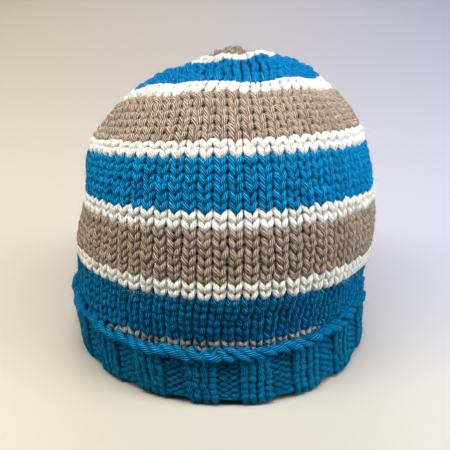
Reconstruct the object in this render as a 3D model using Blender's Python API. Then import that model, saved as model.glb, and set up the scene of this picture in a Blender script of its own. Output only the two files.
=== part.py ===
"""Striped hand-knitted beanie, standing on the fold of its turned-up ribbed cuff.

The hat is knitted in rounds from the ribbed edge up to the gathered tip. Every
change of yarn starts a new band, and each band is a solid ring of its own. The
ribbing is folded up once, so the cuff has an outer and an inner leaf joined at
the fold. +Z is up, the front faces -Y and +X is the right-hand side seen from
the front. All lengths are in metres.
"""

import math

import bmesh
import bpy
import numpy as np

# Driving sizes
BODY_RADIUS = 0.064      # half the width of the knitted body at its fullest
BODY_HEIGHT = 0.106      # rise from the first round of the body to the gathered tip
BODY_START = 0.0189      # height of that first round above the fold
CUFF_HEIGHT = 0.0265     # height of the turned-up ribbing, fold to cast-on edge
KNIT_WALL = 0.0030       # thickness of the plain knitted wall
RIB_WALL = 0.0036        # thickness of one leaf of the ribbing
RIB_DEPTH = 0.0017       # how far the purl furrows lie behind the knit ribs
EDGE_BEAD = 0.0008       # how far the cast-on edge stands proud of the ribs
FOLD_ROUND = 0.0015      # rounding of the fold, beside the flat that it rests on
FOLD_SLOT = 0.0008       # room between the two leaves just above the fold
SLOT_OPENING = 0.0022    # height over which that room opens from its closed floor
PLEAT_DEPTH = 0.0010     # depth of the furrows between the drawn-in crown columns
WEDGE_DEPTH = 0.0016     # depth of the eight lines where stitches are decreased
TIP_RISE = 0.0010        # how far the pulled-together tip stands above its last round
SEAM_GAP = 0.0003        # clearance between neighbouring bands

RIB_COUNT = 18           # repeats of two knit and two purl columns
RIB_STEPS = 6            # mesh columns in one repeat of the ribbing
RIB_PHASE = -5.0         # angle of the middle of one knit rib, in degrees
RIB_CROWDING = 0.075     # how much closer the ribs lie at the front than on average
RIB_STEEPNESS = 1.2      # steepness of the step from rib to furrow, 0.5 being a plain wave
RIB_REPEATS = 12         # repeats that settle the angle of each mesh column of the ribbing
WEDGE_COUNT = 8
WEDGE_PHASE = 15.0       # angle of one decrease line, in degrees
SHARP_ANGLE = 50.0       # edges that bend more than this are shaded sharp, in degrees

# Yarn colours, as linear red, green and blue
YARNS = {
    "blue_yarn": (0.004, 0.205, 0.480),
    "white_yarn": (0.820, 0.800, 0.735),
    "beige_yarn": (0.395, 0.290, 0.215),
}

# Bands from the cuff up: name, yarn, rounds knitted, mesh rows, mesh columns, pleats
BANDS = (
    ("hem_white_band", "white_yarn", 2, 2, 64, 0),
    ("lower_blue_band", "blue_yarn", 6, 4, 64, 0),
    ("lower_white_band", "white_yarn", 2, 2, 64, 0),
    ("lower_beige_band", "beige_yarn", 6, 3, 64, 0),
    ("middle_white_band", "white_yarn", 2, 2, 64, 0),
    ("upper_blue_band", "blue_yarn", 6, 3, 64, 0),
    ("upper_white_band", "white_yarn", 2, 2, 64, 0),
    ("shoulder_beige_band", "beige_yarn", 6, 4, 64, 0),
    ("shoulder_white_band", "white_yarn", 2, 2, 64, 0),
    ("crown_blue_band", "blue_yarn", 6, 3, 96, 48),
    ("crown_white_ring", "white_yarn", 2, 2, 48, 24),
    ("crown_tip", "beige_yarn", 4, 3, 32, 16),
)
TOTAL_ROUNDS = sum(band[2] for band in BANDS)
DECREASE_START = 0.60    # share of all rounds knitted before the first decreases

# Sections of the body, one row each. The first column is the share of all rounds
# knitted so far and the sixth the share of BODY_HEIGHT climbed by then. The others
# are shares of BODY_RADIUS: half width, half depth, shift to the right, shift to
# the back, rise of the front edge above the middle, rise of the right-hand edge.
SECTIONS = (
    (0.000, 0.967, 0.962, -0.033, -0.003, 0.000, 0.070, -0.004),
    (0.087, 0.985, 0.986, -0.038, -0.022, 0.103, 0.106, -0.030),
    (0.174, 1.007, 1.003, -0.010, -0.036, 0.211, 0.128, -0.015),
    (0.261, 1.023, 1.008, 0.000, -0.015, 0.321, 0.150, 0.012),
    (0.391, 1.000, 0.975, 0.000, 0.021, 0.485, 0.178, 0.014),
    (0.522, 0.932, 0.905, 0.000, 0.072, 0.645, 0.195, 0.028),
    (0.609, 0.843, 0.815, 0.002, 0.104, 0.741, 0.188, 0.043),
    (0.696, 0.720, 0.684, 0.005, 0.138, 0.820, 0.196, 0.034),
    (0.783, 0.515, 0.502, 0.028, 0.180, 0.910, 0.112, 0.026),
    (0.870, 0.280, 0.275, 0.045, 0.226, 0.957, 0.070, 0.018),
    (0.957, 0.137, 0.134, 0.048, 0.218, 0.979, 0.058, 0.008),
    (1.000, 0.075, 0.073, 0.050, 0.214, 1.000, 0.040, 0.006),
)

# Dents and swellings of the body: angle in degrees and share of all rounds at the
# middle, spread in degrees, spread as a share of all rounds, and height outwards
# as a share of BODY_RADIUS.
BODY_DENTS = (
    (-95.0, 0.385, 45.0, 0.125, -0.070),
    (-90.0, 0.200, 40.0, 0.090, 0.010),
    (-75.0, 0.630, 35.0, 0.080, -0.015),
    (-62.0, 0.775, 14.0, 0.030, -0.025),
    (-40.0, 0.890, 25.0, 0.050, 0.020),
    (60.0, 0.840, 38.0, 0.065, 0.033),
)

# Outline of the cuff at its fold and at its cast-on edge, as shares of
# BODY_RADIUS: half width, half depth, shift to the right, shift to the back.
FOLD_OUTLINE = (1.037, 1.000, -0.027, 0.000)
EDGE_OUTLINE = (1.050, 1.045, -0.043, 0.000)

# Swellings of the cuff's outer leaf: angle and spread in degrees, and height
# outwards as a share of BODY_RADIUS.
CUFF_SWELLINGS = (
    (50.0, 22.0, 0.030),
    (-120.0, 30.0, -0.015),
    (165.0, 25.0, 0.012),
)

# Section of the cuff's outer leaf, up its outside, over the cast-on edge and down
# its inside: share of CUFF_HEIGHT, share of the furrow's depth inwards, share of
# EDGE_BEAD outwards, share of RIB_WALL inwards.
OUTER_LEAF = (
    (0.40, 1.0, 0.0, 0.00),
    (0.80, 1.0, 0.0, 0.00),
    (0.89, 0.4, 1.0, 0.00),
    (0.96, 0.4, 0.8, 0.00),
    (1.00, 0.0, 0.0, 0.45),
    (0.94, 0.0, 0.0, 1.00),
    (0.50, 0.0, 0.0, 1.00),
)


def clear_scene():
    """Remove whatever the file starts with."""
    for thing in list(bpy.data.objects):
        bpy.data.objects.remove(thing, do_unlink=True)


def yarn_material(yarn):
    """Dull, slightly uneven wool in one colour."""
    material = bpy.data.materials.get(yarn) or bpy.data.materials.new(yarn)
    material.use_nodes = True
    shader = material.node_tree.nodes["Principled BSDF"]
    red, green, blue = YARNS[yarn]
    shader.inputs["Base Color"].default_value = (red, green, blue, 1.0)
    shader.inputs["Roughness"].default_value = 0.9
    shader.inputs["Metallic"].default_value = 0.0
    material.diffuse_color = (red, green, blue, 1.0)
    return material


def smooth_table(table, share):
    """Values of a table of sections at any share, along smooth cubic curves."""
    rows = np.array(table)
    shares = rows[:, 0]
    values = rows[:, 1:]
    slopes = np.gradient(values, shares, axis=0)
    index = int(np.clip(np.searchsorted(shares, share) - 1, 0, len(shares) - 2))
    span = shares[index + 1] - shares[index]
    step = (share - shares[index]) / span
    square, cube = step ** 2, step ** 3
    return (
        (2 * cube - 3 * square + 1) * values[index]
        + (cube - 2 * square + step) * span * slopes[index]
        + (3 * square - 2 * cube) * values[index + 1]
        + (cube - square) * span * slopes[index + 1]
    )


def plain_point(angle, share):
    """Point of the body before dents, at an angle from the front and a share of the rounds."""
    half_width, half_depth, right, back, rise, front_lift, right_lift = smooth_table(SECTIONS, share)
    across = math.sin(angle)
    ahead = math.cos(angle)
    return np.array((
        BODY_RADIUS * (right + half_width * across),
        BODY_RADIUS * (back - half_depth * ahead),
        BODY_START + BODY_HEIGHT * rise + BODY_RADIUS * (front_lift * ahead + right_lift * across),
    ))


def bump(distance, spread):
    """A smooth hill that is 1 in the middle."""
    return math.exp(-(distance / spread) ** 2)


def turn_between(angle, middle_degrees):
    """Signed angle from a place given in degrees, the short way round."""
    return (angle - math.radians(middle_degrees) + math.pi) % (2 * math.pi) - math.pi


def body_dent(angle, share):
    """How far the dents and swellings move the surface outwards."""
    return BODY_RADIUS * sum(
        height
        * bump(turn_between(angle, middle), math.radians(spread))
        * bump(share - level, reach)
        for middle, level, spread, reach, height in BODY_DENTS
    )


def crown_wedges(angle, share):
    """Furrows along the lines where the crown's stitches are decreased."""
    climbed = max(share - DECREASE_START, 0.0) / (1 - DECREASE_START)
    line = 0.5 * (1 + math.cos(WEDGE_COUNT * (angle - math.radians(WEDGE_PHASE))))
    return -WEDGE_DEPTH * line * math.sin(math.pi * climbed)


def body_ring(angles, share, seam_side, pleats=0):
    """Outer and inner loops of points at one share of the rounds.

    seam_side is 1 at a band's lower edge, -1 at its upper edge and 0 between, and
    moves the loops along the wall by half a seam gap. Both loops lie on straight
    lines through the wall, so that neighbouring bands end in parallel faces.
    """
    small = 1e-4
    outer, inner = [], []
    for angle in angles:
        around = plain_point(angle + small, share) - plain_point(angle - small, share)
        upwards = plain_point(angle, share + small) - plain_point(angle, share - small)
        normal = np.cross(around, upwards)
        normal /= np.linalg.norm(normal)
        upwards /= np.linalg.norm(upwards)
        relief = body_dent(angle, share) + crown_wedges(angle, share)
        base = plain_point(angle, share) + upwards * (seam_side * SEAM_GAP / 2) + normal * relief
        pleat = PLEAT_DEPTH * 0.5 * (1 + math.cos(pleats * angle)) if pleats else 0.0
        outer.append(base - normal * pleat)
        inner.append(base - normal * KNIT_WALL)
    return outer, inner


def even_angles(count):
    """Angles all the way round, from the front towards +X."""
    return [2 * math.pi * step / count for step in range(count)]


def join_loops(shape, lower, upper):
    """Faces between two neighbouring loops; a loop of one vertex makes a fan."""
    if len(lower) == 1 and len(upper) == 1:
        return
    count = max(len(lower), len(upper))
    for step in range(count):
        ahead = (step + 1) % count
        corners = [lower[step % len(lower)], lower[ahead % len(lower)]]
        corners += [upper[ahead % len(upper)], upper[step % len(upper)]]
        shape.faces.new(list(dict.fromkeys(corners)))


def solid_from_loops(name, yarn, loops):
    """Closed solid whose section passes through the loops in turn, back to the first."""
    shape = bmesh.new()
    rings = [[shape.verts.new(point) for point in loop] for loop in loops]
    for ring, following in zip(rings, rings[1:] + rings[:1]):
        join_loops(shape, ring, following)
    bmesh.ops.recalc_face_normals(shape, faces=shape.faces[:])
    mesh = bpy.data.meshes.new(name)
    shape.to_mesh(mesh)
    shape.free()
    mesh.materials.append(yarn_material(yarn))
    mesh.shade_smooth()
    mesh.set_sharp_from_angle(angle=math.radians(SHARP_ANGLE))
    thing = bpy.data.objects.new(name, mesh)
    bpy.context.scene.collection.objects.link(thing)
    return thing


def band_shares(rounds_below, rounds, rows):
    """Shares of all rounds at which a band has its rows of points, with their seam sides."""
    shares = np.linspace(rounds_below, rounds_below + rounds, rows) / TOTAL_ROUNDS
    sides = [1] + [0] * (rows - 2) + [-1]
    return list(zip(shares, sides))


def knitted_band(name, yarn, rounds_below, rounds, rows, columns, pleats):
    """One run of rounds in one yarn: an open ring with the thickness of the knitting."""
    angles = even_angles(columns)
    outer_loops, inner_loops = [], []
    for share, side in band_shares(rounds_below, rounds, rows):
        outer, inner = body_ring(angles, share, side, pleats)
        outer_loops.append(outer)
        inner_loops.append(inner)
    return solid_from_loops(name, yarn, outer_loops + inner_loops[::-1])


def gathered_tip(name, yarn, rounds_below, rounds, rows, columns, pleats):
    """The last rounds, drawn together over the middle so that the crown is closed."""
    angles = even_angles(columns)
    outer_loops, inner_loops = [], []
    for share, side in band_shares(rounds_below, rounds, rows):
        outer, inner = body_ring(angles, share, max(side, 0), pleats)
        outer_loops.append(outer)
        inner_loops.append(inner)
    rise = np.array((0.0, 0.0, TIP_RISE))
    outer_middle = np.mean(outer_loops[-1], axis=0) + rise
    inner_middle = np.mean(inner_loops[-1], axis=0) + rise / 2
    loops = outer_loops + [[outer_middle], [inner_middle]] + inner_loops[::-1]
    return solid_from_loops(name, yarn, loops)


def rib_phase(angle):
    """Angle counted in ribs, which lie a little closer together at the front."""
    return angle + RIB_CROWDING * math.sin(angle)


def rib_angles():
    """Angles of the cuff's mesh columns, RIB_STEPS to a rib."""
    start = rib_phase(math.radians(RIB_PHASE))
    angles = []
    for column in even_angles(RIB_COUNT * RIB_STEPS):
        angle = column
        for _ in range(RIB_REPEATS):
            angle = column + start - RIB_CROWDING * math.sin(angle)
        angles.append(angle)
    return angles


def furrow_depth(angle):
    """How far the ribbing lies behind its knit ribs at an angle."""
    turns = RIB_COUNT * (rib_phase(angle) - rib_phase(math.radians(RIB_PHASE)))
    return RIB_DEPTH * (1 - min(max(0.5 + RIB_STEEPNESS * math.cos(turns), 0.0), 1.0))


def cuff_point(angle, height, inset):
    """Point of the cuff at a height, set in from the outer face of its knit ribs."""
    climb = math.sin(min(height / CUFF_HEIGHT, 1.0) * math.pi / 2)
    fold, edge = np.array(FOLD_OUTLINE), np.array(EDGE_OUTLINE)
    half_width, half_depth, right, back = (fold + (edge - fold) * climb) * BODY_RADIUS
    swelling = BODY_RADIUS * (1 - climb) * sum(
        size * bump(turn_between(angle, middle), math.radians(spread))
        for middle, spread, size in CUFF_SWELLINGS
    )
    return np.array((
        right + (half_width + swelling - inset) * math.sin(angle),
        back - (half_depth + swelling - inset) * math.cos(angle),
        height,
    ))


def ribbed_cuff():
    """The ribbing, folded up once: outer leaf, fold and inner leaf in one ring."""
    angles = rib_angles()
    leaf_top_outer, leaf_top_inner = body_ring(angles, 0.0, -1)
    inner_leaf = RIB_WALL + FOLD_SLOT
    columns = []
    for step, angle in enumerate(angles):
        furrow = furrow_depth(angle)
        column = [
            cuff_point(angle, 0.0, FOLD_ROUND + furrow),
            cuff_point(angle, FOLD_ROUND, furrow),
        ]
        for height, furrowed, beaded, inwards in OUTER_LEAF:
            inset = furrowed * furrow - beaded * EDGE_BEAD + inwards * RIB_WALL
            column.append(cuff_point(angle, height * CUFF_HEIGHT, inset))
        column += [
            cuff_point(angle, RIB_WALL, RIB_WALL + FOLD_SLOT / 2),
            cuff_point(angle, RIB_WALL + SLOT_OPENING, inner_leaf),
            leaf_top_outer[step],
            leaf_top_inner[step],
            cuff_point(angle, FOLD_ROUND, inner_leaf + RIB_WALL),
            cuff_point(angle, 0.0, inner_leaf + RIB_WALL - FOLD_ROUND),
        ]
        columns.append(column)
    return solid_from_loops("ribbed_cuff", "blue_yarn", [list(loop) for loop in zip(*columns)])


def centre_on_origin(pieces, holder):
    """Shift all pieces so that the middle of the hat's footprint box is the origin."""
    points = np.array([vertex.co for piece in pieces for vertex in piece.data.vertices])
    middle = (points.min(axis=0) + points.max(axis=0)) / 2
    holder.location = (-middle[0], -middle[1], -points[:, 2].min())
    for piece in pieces:
        piece.parent = holder


def build_hat():
    """The whole hat, from the cuff to the tip."""
    clear_scene()
    holder = bpy.data.objects.new("hat", None)
    bpy.context.scene.collection.objects.link(holder)
    pieces = [ribbed_cuff()]
    rounds_below = 0
    for name, yarn, rounds, rows, columns, pleats in BANDS:
        closed = rounds_below + rounds == TOTAL_ROUNDS
        make = gathered_tip if closed else knitted_band
        pieces.append(make(name, yarn, rounds_below, rounds, rows, columns, pleats))
        rounds_below += rounds
    centre_on_origin(pieces, holder)


build_hat()
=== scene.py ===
# %% [markdown]
# # A hand-knitted striped beanie
#
# The hat stands on the fold of its ribbed cuff, as it does on a table. This lesson
# dresses the plain CAD bands with real knitting: every round of stitches is one
# closed length of yarn that loops through the round below it, so the V-shaped
# stitches, the dark holes between them and the zigzag where two colours meet all
# come from the shape itself and not from a picture on a smooth wall.

# %% Load the fixed frame
import math

import bpy
import numpy as np
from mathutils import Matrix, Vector


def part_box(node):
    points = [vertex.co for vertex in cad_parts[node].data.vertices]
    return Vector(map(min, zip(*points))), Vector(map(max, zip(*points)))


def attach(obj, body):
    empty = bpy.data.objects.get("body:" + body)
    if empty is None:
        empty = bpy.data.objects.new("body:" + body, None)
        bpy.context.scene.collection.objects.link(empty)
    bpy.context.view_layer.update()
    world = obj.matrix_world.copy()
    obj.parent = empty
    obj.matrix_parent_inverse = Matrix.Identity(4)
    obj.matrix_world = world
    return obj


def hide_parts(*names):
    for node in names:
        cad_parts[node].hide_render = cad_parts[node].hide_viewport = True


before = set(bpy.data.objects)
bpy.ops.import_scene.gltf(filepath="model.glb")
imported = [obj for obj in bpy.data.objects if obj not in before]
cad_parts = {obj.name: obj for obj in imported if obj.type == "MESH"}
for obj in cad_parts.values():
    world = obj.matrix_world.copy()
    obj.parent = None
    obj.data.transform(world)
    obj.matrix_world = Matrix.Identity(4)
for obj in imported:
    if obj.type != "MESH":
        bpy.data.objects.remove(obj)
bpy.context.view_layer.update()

print("CAD nodes:", ", ".join(sorted(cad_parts)))

# %% [markdown]
# ## The body's shape
#
# The hat is no perfect dome. Its rounds are ovals that shift and tilt as they climb,
# the left side is pushed in at the waist, and eight shallow furrows run up the crown
# where stitches were taken away. The tables below hold that shape as shares of one
# radius, and the angle of a point is measured from the front towards the right.
#
# Nearly all of it is the shape of the plain CAD bands. The fine dents are the
# knitting's own, and the last rounds lie a little further right and lower: they follow
# the photograph more closely, up to 2.5 mm inside or 2.2 mm outside the bands.

# %% Named sizes of the knitted body
BODY_RADIUS = 0.064
BODY_HEIGHT = 0.106
BODY_START = 0.0189
KNIT_WALL = 0.0030
WEDGE_DEPTH = 0.0016
TIP_RISE = 0.0010
TOTAL_ROUNDS = 46
CLOSING_ROUNDS = 2
DECREASE_START = 0.60
WEDGE_COUNT = 8
WEDGE_PHASE = 15.0
SMALL_STEP = 1e-4
RING_SAMPLES = 720
CLOSING_SAMPLES = 24

# share of rounds, half width, half depth, right, back, rise, front lift, right lift
SECTIONS = np.array((
    (0.000, 0.967, 0.962, -0.033, -0.003, 0.000, 0.070, -0.004),
    (0.087, 0.985, 0.986, -0.038, -0.022, 0.103, 0.106, -0.030),
    (0.174, 1.007, 1.003, -0.010, -0.036, 0.211, 0.128, -0.015),
    (0.261, 1.023, 1.008, 0.000, -0.015, 0.321, 0.150, 0.012),
    (0.391, 1.000, 0.975, 0.000, 0.021, 0.485, 0.178, 0.014),
    (0.522, 0.932, 0.905, 0.000, 0.072, 0.645, 0.195, 0.028),
    (0.609, 0.843, 0.815, 0.002, 0.104, 0.741, 0.188, 0.043),
    (0.696, 0.720, 0.684, 0.005, 0.138, 0.820, 0.196, 0.034),
    (0.783, 0.515, 0.502, 0.028, 0.180, 0.910, 0.112, 0.026),
    (0.870, 0.280, 0.275, 0.050, 0.226, 0.957, 0.070, 0.018),
    (0.957, 0.137, 0.134, 0.066, 0.218, 0.979, 0.058, 0.008),
    (1.000, 0.075, 0.073, 0.080, 0.214, 0.994, 0.040, 0.006),
))

# angle in degrees, share of rounds, spread in degrees, spread in share, height
BODY_DENTS = (
    (-95.0, 0.385, 45.0, 0.125, -0.070),
    (-90.0, 0.200, 40.0, 0.090, 0.010),
    (-75.0, 0.630, 35.0, 0.080, -0.015),
    (-62.0, 0.775, 14.0, 0.030, -0.025),
    (-40.0, 0.890, 25.0, 0.050, 0.020),
    (60.0, 0.840, 38.0, 0.065, 0.033),
)
FINE_DENTS = (
    (-62.0, 0.040, 34.0, 0.070, 0.026),
    (-42.0, 0.030, 18.0, 0.050, 0.014),
    (62.0, 0.040, 34.0, 0.060, 0.016),
    (-48.0, 0.840, 20.0, 0.030, -0.018),
    (-55.0, 0.905, 24.0, 0.030, -0.006),
    (-20.0, 0.865, 8.0, 0.030, 0.012),
    (14.0, 0.880, 8.0, 0.030, -0.012),
    (33.0, 0.865, 9.0, 0.030, 0.004),
    (58.0, 0.850, 16.0, 0.025, -0.022),
    (55.0, 0.905, 22.0, 0.030, 0.006),
    (0.0, 0.970, 180.0, 0.045, -0.020),
    (-38.0, 0.775, 8.0, 0.018, -0.030),
    (-28.0, 0.805, 8.0, 0.020, -0.036),
    (-18.0, 0.838, 8.0, 0.022, -0.034),
    (-76.0, 0.775, 12.0, 0.018, -0.024),
    (-60.0, 0.800, 12.0, 0.018, -0.032),
    (-48.0, 0.820, 10.0, 0.018, -0.024),
    (50.0, 0.800, 10.0, 0.018, -0.026),
    (38.0, 0.830, 10.0, 0.018, -0.022),
)


# %% Points and normals of the body
def section_values(share):
    """The seven section values at any share of the rounds, along smooth cubic curves."""
    shares, values = SECTIONS[:, 0], SECTIONS[:, 1:]
    slopes = np.gradient(values, shares, axis=0)
    index = np.clip(np.searchsorted(shares, share) - 1, 0, len(shares) - 2)
    span = (shares[index + 1] - shares[index])[..., None]
    step = (share - shares[index])[..., None] / span
    square, cube = step ** 2, step ** 3
    mixed = (
        (2 * cube - 3 * square + 1) * values[index]
        + (cube - 2 * square + step) * span * slopes[index]
        + (3 * square - 2 * cube) * values[index + 1]
        + (cube - square) * span * slopes[index + 1]
    )
    return np.moveaxis(mixed, -1, 0)


def plain_point(angle, share):
    """The oval rounds before any dent."""
    half_width, half_depth, right, back, rise, front_lift, right_lift = section_values(share)
    across, ahead = np.sin(angle), np.cos(angle)
    return np.stack((
        BODY_RADIUS * (right + half_width * across),
        BODY_RADIUS * (back - half_depth * ahead),
        BODY_START + BODY_HEIGHT * rise
        + BODY_RADIUS * (front_lift * ahead + right_lift * across),
    ), axis=-1)


def hill(distance, spread):
    """A smooth hill that is 1 in the middle."""
    return np.exp(-(distance / spread) ** 2)


def turn_between(angle, middle_degrees):
    """Signed angle from a place given in degrees, the short way round."""
    return (angle - math.radians(middle_degrees) + math.pi) % (2 * math.pi) - math.pi


def patch(angle, share, middle_degrees, level, spread_degrees, reach):
    """A smooth hill around one place of the body, given by its angle and share."""
    around = hill(turn_between(angle, middle_degrees), math.radians(spread_degrees))
    return around * hill(share - level, reach)


def unit(vectors):
    """Vectors brought to length one."""
    return vectors / np.linalg.norm(vectors, axis=-1, keepdims=True)


def body_surface(angle, share):
    """Outer face of the body and its outward normal; past the last round it closes."""
    closing = np.clip((share - 1) * TOTAL_ROUNDS / CLOSING_ROUNDS, 0, 1)[..., None]
    share = np.clip(share, SMALL_STEP, 1 - SMALL_STEP)
    around = plain_point(angle + SMALL_STEP, share) - plain_point(angle - SMALL_STEP, share)
    upwards = plain_point(angle, share + SMALL_STEP) - plain_point(angle, share - SMALL_STEP)
    normal = unit(np.cross(around, upwards))
    relief = BODY_RADIUS * sum(
        height * patch(angle, share, *place) for *place, height in BODY_DENTS + FINE_DENTS
    )
    climbed = np.clip(share - DECREASE_START, 0, None) / (1 - DECREASE_START)
    wedges = 0.5 * (1 + np.cos(WEDGE_COUNT * (angle - math.radians(WEDGE_PHASE))))
    relief -= WEDGE_DEPTH * wedges * np.sin(math.pi * climbed)
    point = plain_point(angle, share) + normal * relief[..., None]
    circle = np.linspace(0, 2 * math.pi, CLOSING_SAMPLES, endpoint=False)
    last_round = plain_point(circle, np.ones(CLOSING_SAMPLES))
    middle = last_round.mean(axis=0) + np.array((0, 0, TIP_RISE))
    upright = np.array((0.0, 0.0, 1.0))
    return point + (middle - point) * closing, unit(normal + (upright - normal) * closing)


# %% Place the formula in the frame
MIDDLE_WHITE_ROUND = 17


def frame_shift():
    """How far the CAD model was moved to the right, to centre its footprint box."""
    low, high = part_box("middle_white_band")
    share = np.full(RING_SAMPLES, MIDDLE_WHITE_ROUND / TOTAL_ROUNDS)
    ring = body_surface(np.linspace(0, 2 * math.pi, RING_SAMPLES), share)[0]
    return (low.x + high.x) / 2 - (ring[:, 0].min() + ring[:, 0].max()) / 2


SHIFT = np.array((round(frame_shift(), 5), 0.0, 0.0))
print("Shift of the knitting to the frame, in mm:", SHIFT * 1000)

# %% [markdown]
# ## Camera
#
# The photograph looks down on the hat by about 25 degrees from a short distance,
# which is why the cuff's lower edge curves so strongly. The camera stands where the
# ring of the cuff and the stripes give the same curves.

# %% Camera at the photograph's angle
CAMERA_DISTANCE = 0.2696
CAMERA_HEIGHT = 0.1736
CAMERA_PITCH = 24.81
FOCAL_SHARE = 1.4636

camera_data = bpy.data.cameras.new("camera")
camera_data.sensor_width = 36.0
camera_data.lens = camera_data.sensor_width * FOCAL_SHARE
camera_data.clip_start = 0.01
camera = bpy.data.objects.new("camera", camera_data)
camera.location = (SHIFT[0], -CAMERA_DISTANCE, CAMERA_HEIGHT)
camera.rotation_euler = (math.radians(90 - CAMERA_PITCH), 0, 0)
bpy.context.scene.collection.objects.link(camera)
bpy.context.scene.camera = camera
print("Camera lens in mm:", round(camera_data.lens, 1))

# %% [markdown]
# ## Yarn
#
# The yarn is a smooth one of many fine plies, twisted so that the plies lean like
# the middle of the letter S. Each ply is a ridge, with a groove beside it in painted shade.
# The pattern has to follow the yarn round every loop, so it reads the yarn's own UV
# map: U counts ply repeats along the yarn and V goes once around it.

# %% Shader group for the twisted plies
PLIES = 8
RIDGE_ROUNDING = 0.6
# noise scale and detail of the fibres' relief, of patches of dye and of specks in the painted
# groove shade
FIBRE_GRAIN = (2600.0, 3.0)
PATCH_GRAIN = (600.0, 2.0)
SPECK_GRAIN = (1100.0, 1.0)
PLY_DYE = 0.9
PATCH_DYE = 0.8
SPECK_GAIN = 2.4
SPECK_START = -0.2
FIBRE_HEIGHT = 0.5
ROUGHNESS = 0.70
FIBRE_ROUGHNESS = 0.25


def new_group(name, inputs, outputs):
    """An empty shader node group with named sockets."""
    group = bpy.data.node_groups.new(name, "ShaderNodeTree")
    for direction, sockets in (("INPUT", inputs), ("OUTPUT", outputs)):
        for label, kind, value in sockets:
            socket = group.interface.new_socket(label, in_out=direction, socket_type=kind)
            if value is not None:
                socket.default_value = value
    return group


def math_node(tree, operation, first, second=None, clamp=False):
    """A maths node fed by sockets or numbers; returns its result socket."""
    node = tree.nodes.new("ShaderNodeMath")
    node.operation = operation
    node.use_clamp = clamp
    for slot, value in enumerate((first, second)):
        if value is None:
            continue
        if isinstance(value, (int, float)):
            node.inputs[slot].default_value = value
        else:
            tree.links.new(value, node.inputs[slot])
    return node.outputs[0]


def mix_colours(tree, share, first, second):
    """A colour mix; returns its result socket."""
    node = tree.nodes.new("ShaderNodeMix")
    node.data_type = "RGBA"
    sockets = [node.inputs[0], node.inputs[6], node.inputs[7]]
    for socket, value in zip(sockets, (share, first, second)):
        if isinstance(value, (int, float, tuple)):
            socket.default_value = value
        else:
            tree.links.new(value, socket)
    return node.outputs[2]


def noise(tree, place, grain):
    """Noise with the given scale and detail; returns its value socket."""
    node = tree.nodes.new("ShaderNodeTexNoise")
    node.inputs["Scale"].default_value, node.inputs["Detail"].default_value = grain
    tree.links.new(place, node.inputs["Vector"])
    return node.outputs[0]


def scaled(tree, value, factor):
    """A value times a number or another value."""
    return math_node(tree, "MULTIPLY", value, factor)


def build_ply_group():
    """Ridges, grooves in painted shade and uneven dye of a plied yarn, along its own UV map."""
    tree = new_group(
        "plied_yarn",
        (("Light", "NodeSocketColor", None), ("Dark Dye And Shade", "NodeSocketColor", None),
         ("Groove Shade", "NodeSocketFloat", 0.5), ("Melange", "NodeSocketFloat", 0.3)),
        (("Colour", "NodeSocketColor", None), ("Height", "NodeSocketFloat", None),
         ("Roughness", "NodeSocketFloat", None)),
    )
    given = tree.nodes.new("NodeGroupInput")
    result = tree.nodes.new("NodeGroupOutput")
    along = tree.nodes.new("ShaderNodeUVMap")
    along.uv_map = "yarn"
    split = tree.nodes.new("ShaderNodeSeparateXYZ")
    tree.links.new(along.outputs[0], split.inputs[0])
    phase = math_node(tree, "ADD", split.outputs[0], scaled(tree, split.outputs[1], PLIES))
    ridge = math_node(tree, "ABSOLUTE", math_node(tree, "SINE", scaled(tree, phase, math.pi)))
    place = tree.nodes.new("ShaderNodeTexCoord").outputs["Object"]
    fibres, patches, specks = (
        noise(tree, place, grain) for grain in (FIBRE_GRAIN, PATCH_GRAIN, SPECK_GRAIN))
    ply = tree.nodes.new("ShaderNodeTexWhiteNoise")
    ply.noise_dimensions = "1D"
    tree.links.new(math_node(tree, "FLOOR", phase), ply.inputs["W"])
    shade = math_node(tree, "ADD", scaled(tree, ply.outputs[0], PLY_DYE),
                      scaled(tree, patches, PATCH_DYE))
    uneven_dye = math_node(tree, "MULTIPLY", shade, given.outputs["Melange"], clamp=True)
    dyed = mix_colours(tree, uneven_dye, given.outputs["Light"], given.outputs["Dark Dye And Shade"])
    # Painted shade: the colour darkens towards the dark colour in the grooves between plies,
    # broken into patches by the specks.
    broken = math_node(tree, "ADD", scaled(tree, specks, SPECK_GAIN), SPECK_START)
    painted_groove_shade = scaled(tree, math_node(tree, "SUBTRACT", 1.0, ridge), broken)
    painted_groove_shade = math_node(tree, "MULTIPLY", painted_groove_shade, given.outputs["Groove Shade"], clamp=True)
    shaded = mix_colours(tree, painted_groove_shade, dyed, given.outputs["Dark Dye And Shade"])
    height = math_node(tree, "ADD", math_node(tree, "POWER", ridge, RIDGE_ROUNDING),
                       scaled(tree, fibres, FIBRE_HEIGHT))
    rough = math_node(tree, "ADD", ROUGHNESS, scaled(tree, fibres, FIBRE_ROUGHNESS))
    for label, value in (("Colour", shaded), ("Height", height), ("Roughness", rough)):
        tree.links.new(value, result.inputs[label])
    return tree


PLY_GROUP = build_ply_group()
print("Shader group:", PLY_GROUP.name)

# %% [markdown]
# ## Three yarns
#
# The three yarns differ in colour, in how dark the painted shade of their grooves is
# and in how uneven their dye is. The white one is also a little fuller. Each piece also
# has light and shade painted into its colour, by a factor of its own: the hem, the cuff
# and the crown are painted darker than these lights make them.

# %% Yarn materials
# name: light colour, dark colour of the dye and of the painted shade, strength of the painted
# shade in the grooves, melange
YARNS = {
    "blue_yarn": ((0.003, 0.450, 0.980), (0.002, 0.006, 0.024), 1.50, 0.40),
    "white_yarn": ((0.870, 0.860, 0.800), (0.440, 0.415, 0.350), 0.50, 0.12),
    "beige_yarn": ((0.740, 0.580, 0.450), (0.080, 0.045, 0.028), 1.25, 0.31),
}
PLY_RELIEF = 0.00035
FULLNESS = {"blue_yarn": 1.0, "white_yarn": 1.04, "beige_yarn": 1.0}


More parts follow.
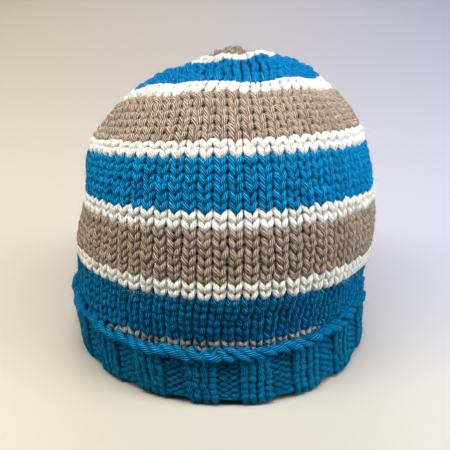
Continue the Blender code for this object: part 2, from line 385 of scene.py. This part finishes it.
def yarn_material(yarn, piece, painted_light_and_shade):
    """Matt wool in one colour, with plies, and with light and shade painted in: a little
    lighter or darker by its factor.
    """
    light, dark_dye_and_shade, groove_shade, melange = YARNS[yarn]
    # Painted light and shade: both colours are scaled by the piece's own factor, lighter or
    # darker than these lights make it.
    light, dark_dye_and_shade = (tuple(np.multiply(colour, painted_light_and_shade)) for colour in (light, dark_dye_and_shade))
    material = bpy.data.materials.new(f"{yarn}_of_{piece}")
    material.use_nodes = True
    tree = material.node_tree
    shader = tree.nodes["Principled BSDF"]
    plies = tree.nodes.new("ShaderNodeGroup")
    plies.node_tree = PLY_GROUP
    plies.inputs["Light"].default_value = (*light, 1.0)
    plies.inputs["Dark Dye And Shade"].default_value = (*dark_dye_and_shade, 1.0)
    plies.inputs["Groove Shade"].default_value = groove_shade
    plies.inputs["Melange"].default_value = melange
    relief = tree.nodes.new("ShaderNodeBump")
    relief.inputs["Distance"].default_value = PLY_RELIEF
    relief.inputs["Strength"].default_value = 1.0
    tree.links.new(plies.outputs["Height"], relief.inputs["Height"])
    tree.links.new(plies.outputs["Colour"], shader.inputs["Base Color"])
    tree.links.new(plies.outputs["Roughness"], shader.inputs["Roughness"])
    tree.links.new(relief.outputs["Normal"], shader.inputs["Normal"])
    shader.inputs["Specular IOR Level"].default_value = 0.03
    shader.inputs["Sheen Weight"].default_value = 0.08
    shader.inputs["Sheen Tint"].default_value = (*light, 1.0)
    shader.inputs["Sheen Roughness"].default_value = 0.5
    return material


print("Yarns:", ", ".join(YARNS))

# %% [markdown]
# ## One stitch
#
# A knit stitch is a loop pulled through the loop below from behind. Seen from the
# front it shows its two legs, a V; its head and the short link to the next stitch
# lie behind the neighbouring rounds. A purl stitch is the same loop seen from the
# back. The table holds the loop's centre line, point by point. The left leg lies
# broad and leans outwards; the right leg is turned and looks thinner.
#
# The ribbing is stretched less and has a second loop, with two flat, broad legs. The
# lower blue rounds are a little like it.

# %% The loop's centre line
# share across the stitch, rise in rounds, depth (0 front, 1 back), half width and
# half depth of the yarn in millimetres
KNIT_LOOP = np.array((
    (0.00, -0.74, 1.00, 1.05, 1.10),
    (0.27, -0.72, 0.82, 1.10, 1.05),
    (0.395, -0.50, 0.36, 0.98, 0.98),
    (0.305, 0.00, 0.00, 1.20, 1.05),
    (0.19, 0.46, 0.32, 0.98, 1.00),
    (0.24, 0.74, 0.86, 1.10, 1.05),
    (0.50, 0.80, 1.00, 1.30, 1.10),
    (0.78, 0.74, 0.86, 1.05, 1.05),
    (0.84, 0.46, 0.38, 0.86, 1.00),
    (0.735, 0.00, -0.06, 1.08, 1.10),
    (0.620, -0.48, 0.38, 0.88, 1.00),
    (0.74, -0.72, 0.82, 1.05, 1.05),
))
# rows 2 to 4 are the left leg, rows 8 to 10 the right leg
BROAD_LOOP = KNIT_LOOP.copy()
BROAD_LOOP[2:5, 0] = (0.31, 0.27, 0.23)
BROAD_LOOP[8:11, 0] = (0.79, 0.75, 0.71)
BROAD_LOOP[2:5, 2] = (0.30, 0.02, 0.20)
BROAD_LOOP[8:11, 2] = (0.20, 0.00, 0.28)
BROAD_LOOP[2:5, 3:] = ((1.50, 0.80), (1.65, 0.75), (1.50, 0.80))
BROAD_LOOP[8:11, 3:] = ((1.45, 0.80), (1.60, 0.75), (1.45, 0.80))
BROAD_LOOP[[0, 1, 5, 6, 7, 11], 3] = (1.05, 1.00, 0.95, 1.05, 0.95, 1.00)
LOW_BREADTH = 0.35
LOW_LOOP = KNIT_LOOP + LOW_BREADTH * (BROAD_LOOP - KNIT_LOOP)
LOW_ROUNDS = range(2, 8)
STITCH_POINTS = 18
YARN_SIDES = 6
PLY_LENGTH = 0.0015
FACE_DEPTH = 0.00100
LOOP_DEPTH = 0.0019
TYPICAL_STITCH = np.array((0.0056, 0.0033, LOOP_DEPTH))
MILLIMETRE = 0.001


def smooth_curve(controls, places):
    """Smooth closed curve through rows of numbers, at places counted in rows."""
    count = len(controls)
    index = np.floor(places).astype(int)
    step = (places - index)[:, None]
    before, here, after, beyond = (controls[(index + shift) % count] for shift in (-1, 0, 1, 2))
    return 0.5 * (
        2 * here + (after - before) * step
        + (2 * before - 5 * here + 4 * after - beyond) * step ** 2
        + (3 * here - before - 3 * after + beyond) * step ** 3
    )


def stitch_stations():
    """Places along one loop, closer together where the yarn bends."""
    dense, rows = 240, len(KNIT_LOOP)
    places = np.arange(dense) * rows / dense
    still = KNIT_LOOP[:, :3] - np.array((1.0, 0, 0)) * np.arange(rows)[:, None] / rows
    curve = smooth_curve(still, places)
    curve[:, 0] += places / rows
    steps = np.diff(curve, axis=0, append=curve[:1] + (1.0, 0, 0)) * TYPICAL_STITCH
    length = np.linalg.norm(steps, axis=1)
    bend = np.linalg.norm(np.roll(unit(steps), -1, axis=0) - unit(steps), axis=1)
    measure = np.concatenate(((0.0,), np.cumsum(length / length.sum() + bend / bend.sum())))
    wanted = np.arange(STITCH_POINTS) * measure[-1] / STITCH_POINTS
    return np.interp(wanted, measure, np.arange(dense + 1) * rows / dense)


STATIONS = stitch_stations()
print("Stations along a loop:", np.round(STATIONS, 2))


# %% A whole round of loops
def stitch_places(stitches):
    """Place of every sample along a round, counted in stitches."""
    inside = STATIONS / len(KNIT_LOOP)
    return (np.arange(stitches)[:, None] + inside).reshape(-1)


def loop_round(stitches, purl=None, loop=KNIT_LOOP):
    """Columns of the loop table at each sample of a round, places counted in stitches."""
    purl = np.zeros(stitches, bool) if purl is None else purl
    controls = np.tile(loop, (stitches, 1, 1))
    controls[purl, :, 2] = 1 - controls[purl, :, 2]
    link = np.where(purl, 0.0, 1.0)
    controls[:, 0, 2] = (link + np.roll(link, 1)) / 2
    flat = controls.reshape(-1, controls.shape[-1])
    flat[:, 0] -= np.tile(np.arange(len(loop)) / len(loop), stitches)
    even = stitch_places(stitches)
    curve = smooth_curve(flat, even * len(loop))
    curve[:, 0] += even
    return curve.T


# %% Sweep yarn along a closed path
FIBRE_SHARE = 0.05
FIBRE_LENGTH = (0.0012, 0.0042)
FIBRE_RADIUS = 0.00005
FIBRE_LEAN = 0.45
FACING_OUT = 0.5
RIDGE_UV = (0.5, 0.0)
HAT_CENTRE = (0.0, 0.0, 0.045)
FIBRES = np.random.default_rng(7)


def yarn_ring(path, normals, half_width, half_depth, ply_length=PLY_LENGTH, finer=1.0):
    """Vertices, faces and UVs of a yarn whose broad side faces the given normals."""
    count = len(path)
    tangent = unit(np.roll(path, -1, axis=0) - np.roll(path, 1, axis=0))
    side = unit(np.cross(normals, tangent))
    depth = np.cross(tangent, side)
    corners = 2 * math.pi * np.arange(YARN_SIDES) / YARN_SIDES
    points = (
        path[:, None]
        + side[:, None] * (half_width[:, None] * np.cos(corners))[..., None]
        + depth[:, None] * (half_depth[:, None] * np.sin(corners))[..., None]
    ).reshape(-1, 3)
    ring, corner = np.meshgrid(np.arange(count), np.arange(YARN_SIDES), indexing="ij")
    next_ring, next_corner = (ring + 1) % count, (corner + 1) % YARN_SIDES
    faces = np.stack((
        ring * YARN_SIDES + corner, next_ring * YARN_SIDES + corner,
        next_ring * YARN_SIDES + next_corner, ring * YARN_SIDES + next_corner,
    ), axis=-1).reshape(-1, 4)
    lengths = np.linalg.norm(np.roll(path, -1, axis=0) - path, axis=1)
    along = np.concatenate(((0.0,), np.cumsum(lengths)))
    along *= round(along[-1] / ply_length) / along[-1]
    u = np.stack((along[ring], along[ring + 1], along[ring + 1], along[ring]), axis=-1)
    v = np.stack((corner, corner, corner + 1, corner + 1), axis=-1) * finer / YARN_SIDES
    return points, faces, np.stack((u, v), axis=-1).reshape(-1, 2)


def stray_fibres(yarn_points, amount):
    """Fine straight hairs on the outer side of the yarn, none of them under the table."""
    sections = yarn_points.reshape(-1, YARN_SIDES, 3)
    outward = unit(sections - sections.mean(axis=1, keepdims=True)).reshape(-1, 3)
    facing = np.sum(outward * unit(yarn_points - np.array(HAT_CENTRE)), axis=1)
    chosen = FIBRES.choice(np.flatnonzero(facing > FACING_OUT), amount)
    roots, away = yarn_points[chosen], outward[chosen]
    along = unit(FIBRE_LEAN * away + unit(FIBRES.normal(size=(amount, 3))))
    along = along + away * np.clip(-np.sum(along * away, axis=1), 0, None)[:, None]
    length = FIBRES.uniform(*FIBRE_LENGTH, amount)[:, None]
    side = unit(np.cross(along, away))
    third = np.cross(along, side)
    turns = (2 * math.pi * np.arange(3) / 3)[:, None]
    spokes = np.cos(turns) * side[:, None] + np.sin(turns) * third[:, None]
    base = roots[:, None] + FIBRE_RADIUS * spokes
    tip = roots + along * length
    tip[:, 2] = np.maximum(tip[:, 2], 0)
    points = np.concatenate((base, tip[:, None]), axis=1).reshape(-1, 3)
    corners = np.array(((0, 1, 3), (1, 2, 3), (2, 0, 3), (2, 1, 0)))
    faces = (4 * np.arange(amount)[:, None, None] + corners).reshape(-1, 3)
    return points, faces


def yarn_piece(name, rings, slot, nodes, painted_light_and_shade):
    """Add one mesh of several closed yarns and their stray fibres, in place of CAD nodes."""
    starts = np.cumsum([0] + [len(ring[0]) for ring in rings[:-1]])
    yarn = np.concatenate([ring[0] for ring in rings]) + SHIFT
    faces = np.concatenate([ring[1] + start for ring, start in zip(rings, starts)])
    hairs, needles = stray_fibres(yarn, int(len(faces) * FIBRE_SHARE))
    points = np.concatenate((yarn, hairs))
    needles = needles + len(yarn)
    hair_uvs = np.tile(RIDGE_UV, (needles.size, 1))
    uvs = np.concatenate([ring[2] for ring in rings] + [hair_uvs])
    mesh = bpy.data.meshes.new(name)
    mesh.vertices.add(len(points))
    mesh.vertices.foreach_set("co", points.ravel())
    mesh.loops.add(faces.size + needles.size)
    mesh.loops.foreach_set("vertex_index", np.concatenate((faces.ravel(), needles.ravel())))
    mesh.polygons.add(len(faces) + len(needles))
    loop_starts = (np.arange(0, faces.size, 4), faces.size + np.arange(0, needles.size, 3))
    mesh.polygons.foreach_set("loop_start", np.concatenate(loop_starts))
    mesh.uv_layers.new(name="yarn").data.foreach_set("uv", uvs.ravel())
    mesh.update(calc_edges=True)
    mesh.validate()
    mesh.shade_smooth()
    mesh.materials.append(yarn_material(slot, name, painted_light_and_shade))
    piece = bpy.data.objects.new(name, mesh)
    bpy.context.scene.collection.objects.link(piece)
    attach(piece, "root")
    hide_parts(*nodes)
    print(f"{name}: {len(rings)} rounds, {2 * len(faces) + len(needles)} triangles")


# %% [markdown]
# ## How the rounds sit on each other
#
# Seventy-two stitches go round the body. From round 31 on, stitches are knitted
# together with their neighbours every few rounds, which draws the crown in. The
# columns stay in line and parallel at the front, and lean more and more towards the
# sides, where the stitches are lost.

# %% Stitch counts and columns
BODY_STITCHES = 72
ANCHOR = math.radians(10.85)
# round, counted from 0: stitches from there on
DECREASES = {31: 64, 35: 56, 36: 48, 37: 40, 39: 32, 41: 24, 43: 16, 45: 8}


def stitches_in(round_index):
    """Stitches on the needles while a round is knitted."""
    counts = [count for start, count in DECREASES.items() if start <= round_index]
    return min(counts, default=BODY_STITCHES)


def column_angles(place, count, previous, rise):
    """Angles of points on a round, from their place counted in stitches."""
    heads = ((place / count + 0.5) % 1 - 0.5) * 2 * math.pi
    lean = (count / previous - 1) * heads * (1 + np.cos(heads)) / 2
    climb = np.clip(rise + 0.5, 0, 1)
    return ANCHOR + heads + lean * (1 - climb * climb * (3 - 2 * climb))


# %% [markdown]
# ## Uneven hands
#
# No two hand-knitted stitches are alike. Each round is uneven along its length, from
# a seeded generator so that the hat is the same every time. Whole patches of rounds
# lie higher or lower too, and away from the front the first rounds slip behind the
# cuff. At the front of the crown the columns are drawn together into cords.

# %% Seeded unevenness
HANDS = np.random.default_rng(46)
PLEAT_DEPTH = 0.0012
PLEAT_PULL = 0.45
# angle in degrees, share of rounds, spread in degrees, spread in share
PLEATED = (10.0, 0.820, 40.0, 0.060)
TUCK_ROUNDS = 2.2
TUCK_ANGLES = (36.0, 54.0)
TUCK_REACH = 6
# a stitch's place across, in stitches, its height, in rounds, and its yarn's thickness
PLACE_SPREAD = 0.050
RISE_SPREAD = 0.080
THICKNESS_SPREAD = 0.09

# angle in degrees, share of rounds, spread in degrees, spread in share, rounds up
DRIFTS = (
    (-18.0, 0.045, 16.0, 0.040, -0.35),
    (12.0, 0.045, 16.0, 0.040, -0.30),
    (0.0, 0.720, 80.0, 0.050, 0.35),
    (-40.0, 0.735, 20.0, 0.050, 0.60),
    (-78.0, 0.740, 18.0, 0.050, 0.20),
    (-30.0, 0.750, 16.0, 0.030, 0.90),
    (-72.0, 0.750, 16.0, 0.030, -1.00),
    (65.0, 0.730, 25.0, 0.050, 0.40),
    (-52.0, 0.900, 24.0, 0.045, -0.95),
)
# the share where the crown's columns start to turn, the share where they end, degrees
CROWN_TURN = (0.70, 0.90, 10.0)
# first round, how far its yarn wanders in and out
WANDERING = {0: 0.00015, 34: 0.00032, 42: 0.00070}


def uneven(stitches, size, per_stitch=1):
    """Smooth random values along a round, one or more to a stitch."""
    values = HANDS.normal(0.0, size, (stitches * per_stitch, 1))
    return smooth_curve(values, stitch_places(stitches) * per_stitch)[:, 0]


def pleating(angle, share):
    """How strongly the columns are drawn together into cords, 1 at the crown's front."""
    return patch(angle, share, *PLEATED)


def drawn_in(place, amount):
    """Places moved towards the middle of their stitch, so that its legs come together."""
    return place + amount * np.sin(2 * math.pi * place) / (2 * math.pi)


def tuck(angle, round_index):
    """How many rounds deeper the first rounds slip behind the cuff, away from the front."""
    begin, full = np.radians(TUCK_ANGLES)
    aside = np.clip((np.abs(turn_between(angle, 0.0)) - begin) / (full - begin), 0, 1)
    return TUCK_ROUNDS * aside * max(1 - round_index / TUCK_REACH, 0)


def drift(angle, share):
    """How many rounds higher the knitting lies than its even share."""
    return sum(rounds * patch(angle, share, *place) for *place, rounds in DRIFTS)


def body_round(round_index, fullness):
    """One round of the body as yarn, a little thinner or fuller."""
    count, previous = stitches_in(round_index), stitches_in(round_index - 1)
    loop = LOW_LOOP if round_index in LOW_ROUNDS else KNIT_LOOP
    place, rise, depth, half_width, half_depth = loop_round(count, loop=loop)
    place = place + uneven(count, PLACE_SPREAD)
    rise = rise + uneven(count, RISE_SPREAD)
    angle = column_angles(place, count, previous, rise)
    climbed = (round_index + 0.5 + rise) / TOTAL_ROUNDS
    turn_start, turn_end, turned = CROWN_TURN
    reached = np.clip((climbed - turn_start) / (turn_end - turn_start), 0, 1)
    turn = math.radians(turned) * reached
    angle = angle + turn
    share = (round_index + 0.5 + rise - tuck(angle, round_index)) / TOTAL_ROUNDS
    share = share + drift(angle, share) / TOTAL_ROUNDS
    pleat = pleating(angle, share)
    angle = column_angles(drawn_in(place, PLEAT_PULL * pleat), count, previous, rise) + turn
    surface, normal = body_surface(angle, share)
    bumps = [size for start, size in WANDERING.items() if start <= round_index][-1]
    sunk = FACE_DEPTH + LOOP_DEPTH * depth + uneven(count, bumps)
    sunk = sunk + PLEAT_DEPTH * pleat * (1 + np.cos(2 * math.pi * place))
    thickness = MILLIMETRE * fullness * (1 + uneven(count, THICKNESS_SPREAD, 2))
    path = surface - normal * sunk[:, None]
    return yarn_ring(path, normal, half_width * thickness, half_depth * thickness)


# %% Knit the bands
# CAD node, yarn, rounds, painted light and shade (a factor on the yarn's colour)
BANDS = (
    # the hem's factor paints it darker and bluish: painted shade and a painted reflection of
    # the blue yarn beside it
    ("hem_white_band", "white_yarn", 2, (0.48, 0.57, 0.64)),
    ("lower_blue_band", "blue_yarn", 6, (0.85, 0.76, 0.74)),
    ("lower_white_band", "white_yarn", 2, (1.06, 1.06, 1.04)),
    ("lower_beige_band", "beige_yarn", 6, (0.88, 0.88, 0.88)),
    ("middle_white_band", "white_yarn", 2, (1.04, 1.04, 1.05)),
    ("upper_blue_band", "blue_yarn", 6, (1.08, 1.06, 1.02)),
    ("upper_white_band", "white_yarn", 2, (1.04, 1.04, 1.04)),
    ("shoulder_beige_band", "beige_yarn", 6, (0.90, 0.90, 0.90)),
    ("shoulder_white_band", "white_yarn", 2, (0.86, 0.86, 0.88)),
    ("crown_blue_band", "blue_yarn", 6, (0.56, 0.79, 0.85)),
    ("crown_white_ring", "white_yarn", 2, (0.82, 0.82, 0.84)),
    ("crown_tip", "beige_yarn", 4 + CLOSING_ROUNDS, (0.64, 0.64, 0.70)),
)
first_round = 0
for node, yarn, rounds, painted_light_and_shade in BANDS:
    rings = [body_round(first_round + step, FULLNESS[yarn]) for step in range(rounds)]
    yarn_piece(node.replace("_band", "") + "_knitting", rings, yarn, [node], painted_light_and_shade)
    first_round += rounds

# %% [markdown]
# ## Ribbed cuff
#
# The cuff is two knit and two purl columns in turn, 18 times round. It was knitted
# first, downwards in this picture: from the cast-on edge at the top of the outer
# leaf, round the fold and up the inner leaf to the body. The knit columns stand
# proud and the purl columns fall back, also under the fold, where they leave small
# dark gaps above the table.
#
# The outline is that of the CAD cuff, apart from the last two swellings, which let
# the fold bulge up to 2.9 mm more at the front, and one degree in the ribs' place.
# The section is the knitting's own: broader knit ribs, rounder corners of the fold,
# purl columns that come forward near it, and that leave the table under it, where
# the plain cuff is flat.

# %% The cuff's own sizes
CUFF_HEIGHT = 0.0265
RIB_WALL = 0.0036
RIB_DEPTH = 0.0017
FOLD_SLOT = 0.0008
RIB_COUNT = 18
RIB_PHASE = -6.0
RIB_CROWDING = 0.075
RIB_STEEPNESS = 1.2
ANGLE_STEPS = 12
# half width, half depth, right, back
FOLD_OUTLINE = np.array((1.037, 1.000, -0.027, 0.000))
EDGE_OUTLINE = np.array((1.050, 1.045, -0.043, 0.000))
# angle in degrees, spread in degrees, height
CUFF_SWELLINGS = (
    (50.0, 22.0, 0.030),
    (-120.0, 30.0, -0.015),
    (165.0, 25.0, 0.012),
    (20.0, 20.0, 0.034),
    (0.0, 90.0, 0.012),
)

FOLD_RADIUS = RIB_WALL + FOLD_SLOT / 2
FOLD_CORNER = 0.0034
FOLD_FLAT = 2 * (FOLD_RADIUS - FOLD_CORNER)
FOLD_LIFT = 3.00
FLUSH_ROWS = (2.0, 6.5)
FLUSH_SHARE = 0.40
OUTER_ROWS, FOLD_ROWS, INNER_ROWS = 7, 3, 6
RIB_TOP = 0.0232
RIB_BROADER = 0.70
RIB_SPREAD = 0.15
RIB_FINER_PLIES = 1.5
RIB_FLATNESS = 0.85
RIB_PLACE_SPREAD = 0.04
RIB_RISE_SPREAD = 0.05
RIB_WANDERING = 0.00012
RIB_THICKNESS_SPREAD = 0.06
# painted shade: the cuff's yarn colour is darkened
CUFF_PAINTED_SHADE = (0.80, 0.66, 0.61)


def rib_angle(place):
    """Angle of a place counted in ribs' stitches, closer together at the front."""
    start = math.radians(RIB_PHASE)
    wanted = place * 2 * math.pi / BODY_STITCHES + start + RIB_CROWDING * math.sin(start)
    angle = wanted
    for _ in range(ANGLE_STEPS):
        angle = wanted - RIB_CROWDING * np.sin(angle)
    return angle


def furrow_depth(angle):
    """How far the ribbing lies behind its knit ribs."""
    start = math.radians(RIB_PHASE)
    turns = RIB_COUNT * (angle - start + RIB_CROWDING * (np.sin(angle) - math.sin(start)))
    return RIB_DEPTH * (1 - np.clip(RIB_BROADER + RIB_STEEPNESS * np.cos(turns), 0, 1))


def straight_out(angle):
    """Level unit vectors away from the hat's middle."""
    return np.stack((np.sin(angle), -np.cos(angle), np.zeros_like(angle)), axis=-1)


def cuff_point(angle, height, inset):
    """Point of the cuff at a height, set in from the outer face of its knit ribs."""
    climb = np.sin(np.clip(height / CUFF_HEIGHT, 0, 1) * math.pi / 2)[..., None]
    outline = (FOLD_OUTLINE + (EDGE_OUTLINE - FOLD_OUTLINE) * climb) * BODY_RADIUS
    half_width, half_depth, right, back = np.moveaxis(outline, -1, 0)
    swelling = BODY_RADIUS * (1 - climb[..., 0]) * sum(
        size * hill(turn_between(angle, middle), math.radians(spread))
        for middle, spread, size in CUFF_SWELLINGS
    )
    return np.stack((
        right + (half_width + swelling - inset) * np.sin(angle),
        back - (half_depth + swelling - inset) * np.cos(angle),
        height,
    ), axis=-1)


# %% Rows down the outer leaf, round the fold and up the inner leaf
def fold_section(row):
    """Inset, height and turn of the plain section: a corner, a flat and a corner."""
    corner = FOLD_CORNER * math.pi / 2
    run = np.clip((row - OUTER_ROWS) / FOLD_ROWS, 0, 1) * (2 * corner + FOLD_FLAT)
    first = np.clip(run / corner, 0, 1) * math.pi / 2
    second = np.clip((run - corner - FOLD_FLAT) / corner, 0, 1) * math.pi / 2
    flat = np.clip(run - corner, 0, FOLD_FLAT)
    inset = FOLD_CORNER * (1 - np.cos(first)) + flat + FOLD_CORNER * np.sin(second)
    height = FOLD_CORNER * (1 - np.sin(first)) + FOLD_CORNER * (1 - np.cos(second))
    return inset, height, first + second


def cuff_surface(angle, row, furrow):
    """Visible face of the ribbing and its normal, rows counted from the cast-on edge."""
    outer = np.clip(row / OUTER_ROWS, None, 1)
    inner = np.clip((row - OUTER_ROWS - FOLD_ROWS) / INNER_ROWS, 0, None)
    inset, height, bend = fold_section(row)
    near_fold = np.clip((row - FLUSH_ROWS[0]) / (FLUSH_ROWS[1] - FLUSH_ROWS[0]), 0, 1)
    inset = inset + furrow * np.cos(bend) * (1 - FLUSH_SHARE * near_fold)
    height = height + FOLD_LIFT * furrow * np.sin(bend) + (1 - outer) * (RIB_TOP - FOLD_CORNER)
    leaf = cuff_point(angle, height, inset)
    top, out = body_surface(angle, np.zeros_like(angle))
    top = top - out * (KNIT_WALL + furrow)[..., None]
    point = leaf + (top - leaf) * inner[..., None]
    down = np.array((0.0, 0.0, -1.0))
    normal = straight_out(angle) * np.cos(bend)[..., None] + down * np.sin(bend)[..., None]
    return point, unit(normal)


def rib_row(row):
    """One row of the ribbing as yarn; its loops point along the knitting."""
    stitches = BODY_STITCHES
    purl = (np.arange(stitches) % 4) >= 2
    place, rise, depth, half_width, half_depth = loop_round(stitches, purl, BROAD_LOOP)
    place = place + uneven(stitches, RIB_PLACE_SPREAD) - 1.0
    angle = rib_angle(place + RIB_SPREAD * np.sin(place * math.pi / 2))
    position = row + 0.5 + rise + uneven(stitches, RIB_RISE_SPREAD)
    surface, normal = cuff_surface(angle, position, furrow_depth(angle))
    sunk = FACE_DEPTH + LOOP_DEPTH * RIB_FLATNESS * depth + uneven(stitches, RIB_WANDERING)
    thickness = MILLIMETRE * (1 + uneven(stitches, RIB_THICKNESS_SPREAD, 2))
    path = surface - normal * sunk[:, None]
    return yarn_ring(path, normal, half_width * thickness, half_depth * thickness,
                     finer=RIB_FINER_PLIES)


SEEN_ROWS = OUTER_ROWS + 2
rows = [rib_row(row) for row in range(OUTER_ROWS + FOLD_ROWS + INNER_ROWS)]
yarn_piece("cuff_outer_leaf", rows[:SEEN_ROWS], "blue_yarn", ["ribbed_cuff"], CUFF_PAINTED_SHADE)
yarn_piece("cuff_inner_leaf", rows[SEEN_ROWS:], "blue_yarn", ["ribbed_cuff"], CUFF_PAINTED_SHADE)

# %% [markdown]
# ## Cast-on edge
#
# The edge at the top of the cuff looks like a rope: one slanting bead to a stitch.
# Two strands twisted round each other, with a full turn every two stitches, give
# exactly those beads.

# %% Two twisted strands
EDGE_HEIGHT = 0.0246
EDGE_INSET = 0.0014
EDGE_TWIST_RADIUS = 0.00138
EDGE_LINGER = 0.4
EDGE_HUG = 0.0012
EDGE_HALF_WIDTH = 0.00152
EDGE_FLATNESS = 0.9
EDGE_FOLLOWS_RIBS = 0.6
EDGE_PLY_LENGTH = 0.0008
BEAD_SPREAD = 0.07
BEAD_TURN_SPREAD = 0.05
BEAD_HEIGHT_SPREAD = 0.0003
BEAD_WIDTH_SPREAD = 0.09
# painted shade: the cast-on edge's yarn colour is darkened
EDGE_PAINTED_SHADE = (0.76, 0.72, 0.70)


def edge_strand(start_turn):
    """One of the two strands of the cast-on edge."""
    stitches = BODY_STITCHES
    place = stitch_places(stitches)
    angle = rib_angle(place + uneven(stitches, BEAD_SPREAD))
    even_turn = math.pi * (place + uneven(stitches, BEAD_TURN_SPREAD)) + start_turn
    turn = even_turn - EDGE_LINGER * np.sin(even_turn)
    level = EDGE_HEIGHT + uneven(stitches, BEAD_HEIGHT_SPREAD)
    inset = EDGE_INSET + EDGE_HUG * (1 - np.cos(angle))
    inset = inset + EDGE_FOLLOWS_RIBS * furrow_depth(angle) - EDGE_TWIST_RADIUS * np.cos(turn)
    path = cuff_point(angle, level - EDGE_TWIST_RADIUS * np.sin(turn), inset)
    up = np.array((0.0, 0.0, 1.0))
    lean = np.cos(turn)[:, None] * straight_out(angle) - np.sin(turn)[:, None] * up
    width = EDGE_HALF_WIDTH * (1 + uneven(stitches, BEAD_WIDTH_SPREAD))
    return yarn_ring(path, unit(lean), width, width * EDGE_FLATNESS, EDGE_PLY_LENGTH)


edge_rings = [edge_strand(0.0), edge_strand(math.pi)]
yarn_piece("cast_on_edge", edge_rings, "blue_yarn", ["ribbed_cuff"], EDGE_PAINTED_SHADE)

# %% [markdown]
# ## Table and light
#
# A plain table top that runs on as the background, a touch warmer on the left and
# cooler on the right. In front of the picture its colour is painted dark, a painted
# shade that keeps light from coming back up under the fold. One wide strip of soft light
# stands high in front of the hat, a warm and a cool light fill the sides, and one more
# light is aimed at the far table top.

# %% Table top
# colours on the left and on the right
TABLE_NEAR = ((0.425, 0.386, 0.298), (0.385, 0.379, 0.372))
TABLE_FAR = ((0.445, 0.392, 0.296), (0.355, 0.360, 0.455))
TABLE_SIZE = 8.0
TABLE_FADE = (-0.08, 0.08)
TABLE_TINT = 1.8
# painted shade: the table's colour in front of the picture, and where it fades in
TABLE_FRONT_SHADE = (0.080, 0.080, 0.090)
FRONT_SHADE_FADE = (-0.130, -0.092)


def smooth_step(tree, value, limits):
    """A factor that climbs smoothly from 0 to 1 between two limits."""
    step = tree.nodes.new("ShaderNodeMapRange")
    step.interpolation_type = "SMOOTHSTEP"
    step.inputs["From Min"].default_value, step.inputs["From Max"].default_value = limits
    tree.links.new(value, step.inputs["Value"])
    return step.outputs["Result"]


def table_material():
    """Matt table top, painted dark in front as a painted shade; lines of equal tint fan out
    from a point behind the camera.
    """
    material = bpy.data.materials.new("pale_table")
    material.use_nodes = True
    tree = material.node_tree
    shader = tree.nodes["Principled BSDF"]
    place = tree.nodes.new("ShaderNodeTexCoord")
    split = tree.nodes.new("ShaderNodeSeparateXYZ")
    tree.links.new(place.outputs["Object"], split.inputs[0])
    across = math_node(tree, "DIVIDE", split.outputs[0],
                       math_node(tree, "ADD", split.outputs[1], 2 * CAMERA_DISTANCE))
    tint = math_node(tree, "ADD", scaled(tree, across, TABLE_TINT), 0.5, clamp=True)
    near, far = (mix_colours(tree, tint, (*left, 1.0), (*right, 1.0))
                 for left, right in (TABLE_NEAR, TABLE_FAR))
    colour = mix_colours(tree, smooth_step(tree, split.outputs[1], TABLE_FADE), near, far)
    # Painted shade: the table's colour turns dark in front of the picture.
    front = smooth_step(tree, split.outputs[1], FRONT_SHADE_FADE)
    colour = mix_colours(tree, front, (*TABLE_FRONT_SHADE, 1.0), colour)
    tree.links.new(colour, shader.inputs["Base Color"])
    shader.inputs["Roughness"].default_value = 0.8
    shader.inputs["Specular IOR Level"].default_value = 0.1
    return material


bpy.ops.object.select_all(action="DESELECT")
bpy.ops.mesh.primitive_plane_add(size=TABLE_SIZE)
table_top = bpy.context.object
table_top.name = "table_top"
table_top.data.materials.append(table_material())


# %% Lights
ON_THE_HAT = (0.0, 0.0, 0.07)
FAR_TABLE = (0.0, 1.9, 0.0)
# name, place, target, width and depth, power, colour
LIGHTS = (
    ("key_light", (0.0, -0.34, 0.97), ON_THE_HAT, (2.00, 0.32), 27.0, (1.0, 1.0, 0.98)),
    ("warm_side", (-0.85, -0.20, 0.66), ON_THE_HAT, (0.4, 0.4), 2.3, (1.0, 0.86, 0.62)),
    ("cool_side", (0.95, -0.20, 0.42), ON_THE_HAT, (0.4, 0.4), 5.5, (0.82, 0.89, 1.0)),
    ("far_light", (0.0, 1.3, 1.5), FAR_TABLE, (1.0, 1.0), 31.0, (1.0, 1.0, 1.0)),
)
SURROUNDINGS = (0.95, 0.95, 1.0, 1.0)
SURROUNDINGS_STRENGTH = 0.04

for name, place, target, size, power, colour in LIGHTS:
    light = bpy.data.lights.new(name, "AREA")
    light.shape = "RECTANGLE"
    light.size, light.size_y = size
    light.energy = power
    light.color = colour
    holder = bpy.data.objects.new(name, light)
    holder.location = place
    aim = Vector(target) - Vector(place)
    holder.rotation_euler = aim.to_track_quat("-Z", "Y").to_euler()
    bpy.context.scene.collection.objects.link(holder)

world = bpy.data.worlds.new("studio")
world.use_nodes = True
background = world.node_tree.nodes["Background"]
background.inputs["Color"].default_value = SURROUNDINGS
background.inputs["Strength"].default_value = SURROUNDINGS_STRENGTH
bpy.context.scene.world = world
bpy.context.scene.view_settings.view_transform = "Standard"
